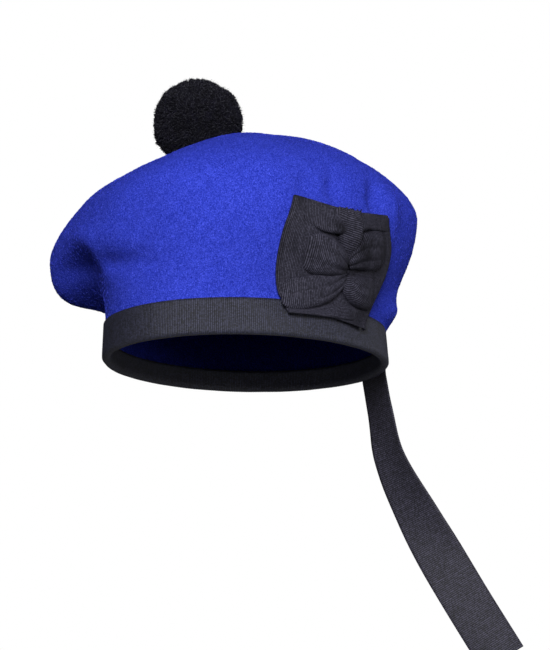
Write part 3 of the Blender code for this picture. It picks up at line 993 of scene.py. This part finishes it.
def fibre_group():
    """Tangled fibres on Object coordinates: fine streaks, soft clumps and a height."""
    sizes = {"Fibre Size": 0.0012, "Clump Size": 0.006}
    results = ("Fibres", "Clumps", "Height")
    group, given, gives = new_group("tangled fibres", "Position", sizes, results)
    add, link = group.nodes.new, group.links.new
    streak_share = 0.6
    clump_height = 0.35

    def cloud(size, detail, roughness, distortion, shift):
        """Noise of a size, moved aside so that it differs from the others."""
        move = add("ShaderNodeVectorMath")
        move.operation = "ADD"
        move.inputs[1].default_value = (shift, shift * 0.7, shift * 1.3)
        link(given["Position"], move.inputs[0])
        made = add("ShaderNodeTexNoise")
        made.inputs["Detail"].default_value = detail
        made.inputs["Roughness"].default_value = roughness
        made.inputs["Distortion"].default_value = distortion
        link(move.outputs[0], made.inputs["Vector"])
        link(math_on(group, "DIVIDE", 1, given[size]), made.inputs["Scale"])
        return made.outputs["Fac"]

    streaks = cloud("Fibre Size", 3, 0.6, 1.2, 0.31)
    specks = cloud("Fibre Size", 2, 0.7, 0.4, 1.7)
    clumps = cloud("Clump Size", 4, 0.6, 1.2, 0.9)
    speckled = math_on(group, "MULTIPLY", specks, 1 - streak_share)
    fibres = math_on(group, "MULTIPLY_ADD", streaks, streak_share, speckled)
    link(fibres, gives["Fibres"])
    link(clumps, gives["Clumps"])
    link(math_on(group, "MULTIPLY_ADD", clumps, clump_height, fibres), gives["Height"])
    return group


def grosgrain_group():
    """Ribs across a ribbon on its own UV map in metres, with streaks, stitches and a height."""
    sizes = {"Rib Pitch": RIB_PITCH, "Thread Pitch": 0.0005}
    results = ("Ribs", "Streaks", "Stitches", "Height")
    group, given, gives = new_group("grosgrain ribs", "Ribbon", sizes, results)
    add, link = group.nodes.new, group.links.new
    split = add("ShaderNodeSeparateXYZ")
    link(given["Ribbon"], split.inputs[0])
    along, across = split.outputs["X"], split.outputs["Y"]
    streaks_along, streaks_across = 900, 60
    thread_height = 0.35

    def wave(place, pitch):
        """Rounded ridges at a pitch."""
        turns = math_on(group, "MULTIPLY", math_on(group, "DIVIDE", place, pitch), math.pi)
        return math_on(group, "ABSOLUTE", math_on(group, "SINE", turns))

    def pair(first, second):
        """A vector of two values."""
        made = add("ShaderNodeCombineXYZ")
        link(first, made.inputs["X"])
        link(second, made.inputs["Y"])
        return made.outputs[0]

    ribs = wave(along, given["Rib Pitch"])
    row = math_on(group, "FLOOR", math_on(group, "DIVIDE", along, given["Rib Pitch"]))
    offset = math_on(group, "MULTIPLY", math_on(group, "MODULO", row, 2), 0.5)
    shifted = math_on(group, "MULTIPLY_ADD", offset, given["Thread Pitch"], across)
    threads = wave(shifted, given["Thread Pitch"])
    column = math_on(group, "FLOOR", math_on(group, "DIVIDE", shifted, given["Thread Pitch"]))
    streak = add("ShaderNodeTexNoise")
    streak.inputs["Scale"].default_value = 1
    streak.inputs["Detail"].default_value = 3
    drawn_out = pair(
        math_on(group, "MULTIPLY", along, streaks_along),
        math_on(group, "MULTIPLY", across, streaks_across),
    )
    link(drawn_out, streak.inputs["Vector"])
    chance = add("ShaderNodeTexWhiteNoise")
    chance.noise_dimensions = "2D"
    link(pair(row, column), chance.inputs["Vector"])
    link(ribs, gives["Ribs"])
    link(streak.outputs["Fac"], gives["Streaks"])
    link(chance.outputs["Value"], gives["Stitches"])
    link(math_on(group, "MULTIPLY_ADD", threads, thread_height, ribs), gives["Height"])
    return group


class Finish:
    """A material with its Principled shader, and short ways to add to it."""

    def __init__(self, name, roughness, specular):
        self.made = bpy.data.materials.new(name)
        self.made.use_nodes = True
        self.add = self.made.node_tree.nodes.new
        self.link = self.made.node_tree.links.new
        self.shader = self.made.node_tree.nodes["Principled BSDF"]
        self.set("Roughness", roughness)
        self.set("Specular IOR Level", specular)

    def set(self, name, value):
        """Set an input of the shader to a constant."""
        self.shader.inputs[name].default_value = value

    def group(self, tree, **values):
        """A node of a node group, with its inputs' names written with underscores."""
        node = self.add("ShaderNodeGroup")
        node.node_tree = tree
        for name, value in values.items():
            node.inputs[name.replace("_", " ")].default_value = value
        return node

    def position(self):
        """The Object coordinates."""
        return self.add("ShaderNodeTexCoord").outputs["Object"]

    def ribbon(self):
        """The place on a ribbon, in metres along it and across it."""
        place = self.add("ShaderNodeUVMap")
        place.uv_map = "ribbon"
        return place.outputs["UV"]

    def light(self):
        """The painted shade stored on a piece's points, as the share of its colour that is kept."""
        kept = self.add("ShaderNodeAttribute")
        kept.attribute_name = "light"
        return kept.outputs["Fac"]

    def ramp(self, share, *stops):
        """A colour that changes with a share, through stops of a place and a colour."""
        node = self.add("ShaderNodeValToRGB")
        ramp = node.color_ramp
        while len(ramp.elements) < len(stops):
            ramp.elements.new(0.5)
        for element, (place, colour) in zip(ramp.elements, stops):
            element.position = place
            element.color = (*colour, 1)
        self.link(share, node.inputs["Fac"])
        return node.outputs["Color"]

    def multiply(self, first, second):
        """A colour darkened by another one."""
        node = self.add("ShaderNodeMix")
        node.data_type = "RGBA"
        node.blend_type = "MULTIPLY"
        spots = {spot.name: spot for spot in node.inputs if spot.enabled}
        spots["Factor"].default_value = 1.0
        self.link(first, spots["A"])
        self.link(second, spots["B"])
        return next(spot for spot in node.outputs if spot.enabled)

    def bump(self, height, distance, strength):
        """Unevenness too fine for the mesh."""
        node = self.add("ShaderNodeBump")
        node.inputs["Distance"].default_value = distance
        node.inputs["Strength"].default_value = strength
        self.link(height, node.inputs["Height"])
        self.link(node.outputs["Normal"], self.shader.inputs["Normal"])

    def colour(self, output):
        """Give the shader its colour."""
        self.link(output, self.shader.inputs["Base Color"])


def wool_finish(name, fibres, shades, clumps):
    """Felted wool: tangled fibres over a soft mottle."""
    dark, middle, light = shades
    finish = Finish(name, 0.95, 0.05)
    tangle = finish.group(fibres, Fibre_Size=0.0007, Clump_Size=0.007)
    finish.link(finish.position(), tangle.inputs["Position"])
    base = finish.ramp(tangle.outputs["Fibres"], (0.38, dark), (0.5, middle), (0.62, light))
    mottle = finish.ramp(tangle.outputs["Clumps"], (0.35, clumps), (0.65, WHITE))
    finish.colour(finish.multiply(base, mottle))
    finish.bump(tangle.outputs["Height"], 0.0006, 0.55)
    return finish.made


def ribbon_finish(name, grosgrain, shades, pitch, crisp=0.1, specular=0.35, dull=0.25, with_painted_shade=False):
    """Black grosgrain: ribs with a painted sheen on their tops and painted shade in their grooves, streaks
    and fine stitches.
    """
    painted_groove_shade, painted_rib_sheen = shades
    finish = Finish(name, 0.62, specular)
    ribs = finish.group(grosgrain, Rib_Pitch=pitch, Thread_Pitch=0.0007)
    finish.link(finish.ribbon(), ribs.inputs["Ribbon"])
    # Painted sheen on the tops of the ribs and painted shade in their grooves
    base = finish.ramp(ribs.outputs["Ribs"], (crisp, painted_groove_shade), (0.85 + crisp / 4, painted_rib_sheen))
    streaks = finish.ramp(ribs.outputs["Streaks"], (0.35, RIBBON_STREAKS), (0.65, WHITE))
    stitches = finish.ramp(ribs.outputs["Stitches"], (0.0, (dull, dull, dull)), (1.0, WHITE))
    woven = finish.multiply(finish.multiply(base, streaks), stitches)
    # Painted shade: the colour is darkened by the light attribute
    if with_painted_shade:
        woven = finish.multiply(woven, finish.light())
    finish.colour(woven)
    finish.bump(ribs.outputs["Height"], 0.0003, 0.6)
    return finish.made


def yarn_finish(name, fibres, shades):
    """Black wool yarn, with slightly lighter fibres."""
    dark, light = shades
    finish = Finish(name, 0.95, 0.10)
    finish.set("Sheen Weight", 0.10)
    finish.set("Sheen Roughness", 0.5)
    finish.set("Sheen Tint", (*YARN_SHEEN, 1))
    tangle = finish.group(fibres, Fibre_Size=0.0014, Clump_Size=0.008)
    finish.link(finish.position(), tangle.inputs["Position"])
    base = finish.ramp(tangle.outputs["Fibres"], (0.4, dark), (0.7, light))
    mottle = finish.ramp(tangle.outputs["Clumps"], (0.4, YARN_CLUMPS), (0.6, WHITE))
    finish.colour(finish.multiply(base, mottle))
    return finish.made


def floor_finish():
    """A matt, pale finish for the floor."""
    finish = Finish("pale floor", 0.8, 0.2)
    finish.set("Base Color", (*FLOOR_COLOUR, 1))
    return finish.made


# Studio


def make_camera():
    """The camera of the photograph, and the ways right, up and back from its view."""
    a, e, r = VIEW_AZIMUTH, VIEW_ELEVATION, VIEW_ROLL
    back = Vector((math.sin(a) * math.cos(e), -math.cos(a) * math.cos(e), math.sin(e)))
    level = Vector((math.cos(a), math.sin(a), 0))
    upright = back.cross(level)
    right = level * math.cos(r) + upright * math.sin(r)
    up = upright * math.cos(r) - level * math.sin(r)
    lens = bpy.data.cameras.new("camera")
    lens.sensor_width = SENSOR
    lens.lens = FOCAL_PIXELS * SENSOR / PHOTO_HEIGHT
    camera = bpy.data.objects.new("camera", lens)
    place = right * VIEW_ACROSS + up * VIEW_UP + back * VIEW_DISTANCE
    camera.matrix_world = Matrix.Translation(place) @ Matrix((right, up, back)).transposed().to_4x4()
    bpy.context.scene.collection.objects.link(camera)
    bpy.context.scene.camera = camera
    return right, up, back


def make_light(name, place, size, power):
    """A soft square light aimed at the bonnet's middle."""
    lamp = bpy.data.lights.new(name, "AREA")
    lamp.size = size
    lamp.energy = power
    light = bpy.data.objects.new(name, lamp)
    light.location = place
    light.rotation_mode = "QUATERNION"
    light.rotation_quaternion = (BONNET_MIDDLE - place).to_track_quat("-Z", "Y")
    bpy.context.scene.collection.objects.link(light)


def make_world():
    """A white backdrop all round, which lights the bonnet from above more than from below."""
    world = bpy.data.worlds.new("studio")
    bpy.context.scene.world = world
    world.use_nodes = True
    nodes, link = world.node_tree.nodes, world.node_tree.links.new
    glow = nodes["Background"]
    glow.inputs["Color"].default_value = (*WHITE, 1)
    way = nodes.new("ShaderNodeTexCoord")
    split = nodes.new("ShaderNodeSeparateXYZ")
    link(way.outputs["Generated"], split.inputs[0])
    ambient = nodes.new("ShaderNodeMapRange")
    ambient.interpolation_type = "SMOOTHSTEP"
    ambient.inputs["From Min"].default_value = BACKDROP_RISE[0]
    ambient.inputs["From Max"].default_value = BACKDROP_RISE[1]
    ambient.inputs["To Min"].default_value = BACKDROP_BELOW
    ambient.inputs["To Max"].default_value = BACKDROP_ABOVE
    link(split.outputs["Z"], ambient.inputs["Value"])
    seen = nodes.new("ShaderNodeLightPath")
    level = nodes.new("ShaderNodeMapRange")
    link(ambient.outputs["Result"], level.inputs["To Min"])
    level.inputs["To Max"].default_value = BACKDROP_SEEN
    link(seen.outputs["Is Camera Ray"], level.inputs["Value"])
    link(level.outputs["Result"], glow.inputs["Strength"])


def make_studio():
    """Camera, soft lights, a white backdrop and a pale floor."""
    right, up, back = make_camera()
    make_world()
    for name, aside, over, behind, size, power in LIGHTS:
        make_light(name, BONNET_MIDDLE + right * aside + up * over + back * behind, size, power)
    bm = bmesh.new()
    bmesh.ops.create_grid(bm, x_segments=1, y_segments=1, size=3)
    bmesh.ops.translate(bm, verts=bm.verts, vec=(0, 0, FLOOR_HEIGHT))
    floor = new_piece("floor", bm, floor_finish())
    floor.visible_diffuse = False
    bpy.context.scene.view_settings.view_transform = "Standard"


def main():
    """Make the studio, the finishes and then each piece of the bonnet."""
    make_studio()
    fibres = fibre_group()
    grosgrain = grosgrain_group()
    wool = wool_finish("royal blue felt", fibres, WOOL_SHADES, WOOL_CLUMPS)
    nap = wool_finish("royal blue nap", fibres, NAP_SHADES, NAP_CLUMPS)
    band = ribbon_finish("black band grosgrain", grosgrain, BAND_SHADES, RIB_PITCH)
    cockade = ribbon_finish("black cockade grosgrain", grosgrain, COCKADE_SHADES, COCKADE_PITCH,
                            crisp=0.25, specular=0.06, dull=0.45, with_painted_shade=True)
    tail = ribbon_finish("black tail grosgrain", grosgrain, TAIL_SHADES, RIB_PITCH)
    yarn = yarn_finish("black yarn", fibres, YARN_SHADES)
    stray = yarn_finish("black yarn fibres", fibres, STRAY_SHADES)
    crown = make_crown(wool)
    make_band(band)
    wall = Wall()
    make_patch(cockade, wall)
    make_rosette(cockade, wall)
    make_tail(tail)
    make_nap(nap, crown)
    make_toorie(yarn, stray, crown)


main()
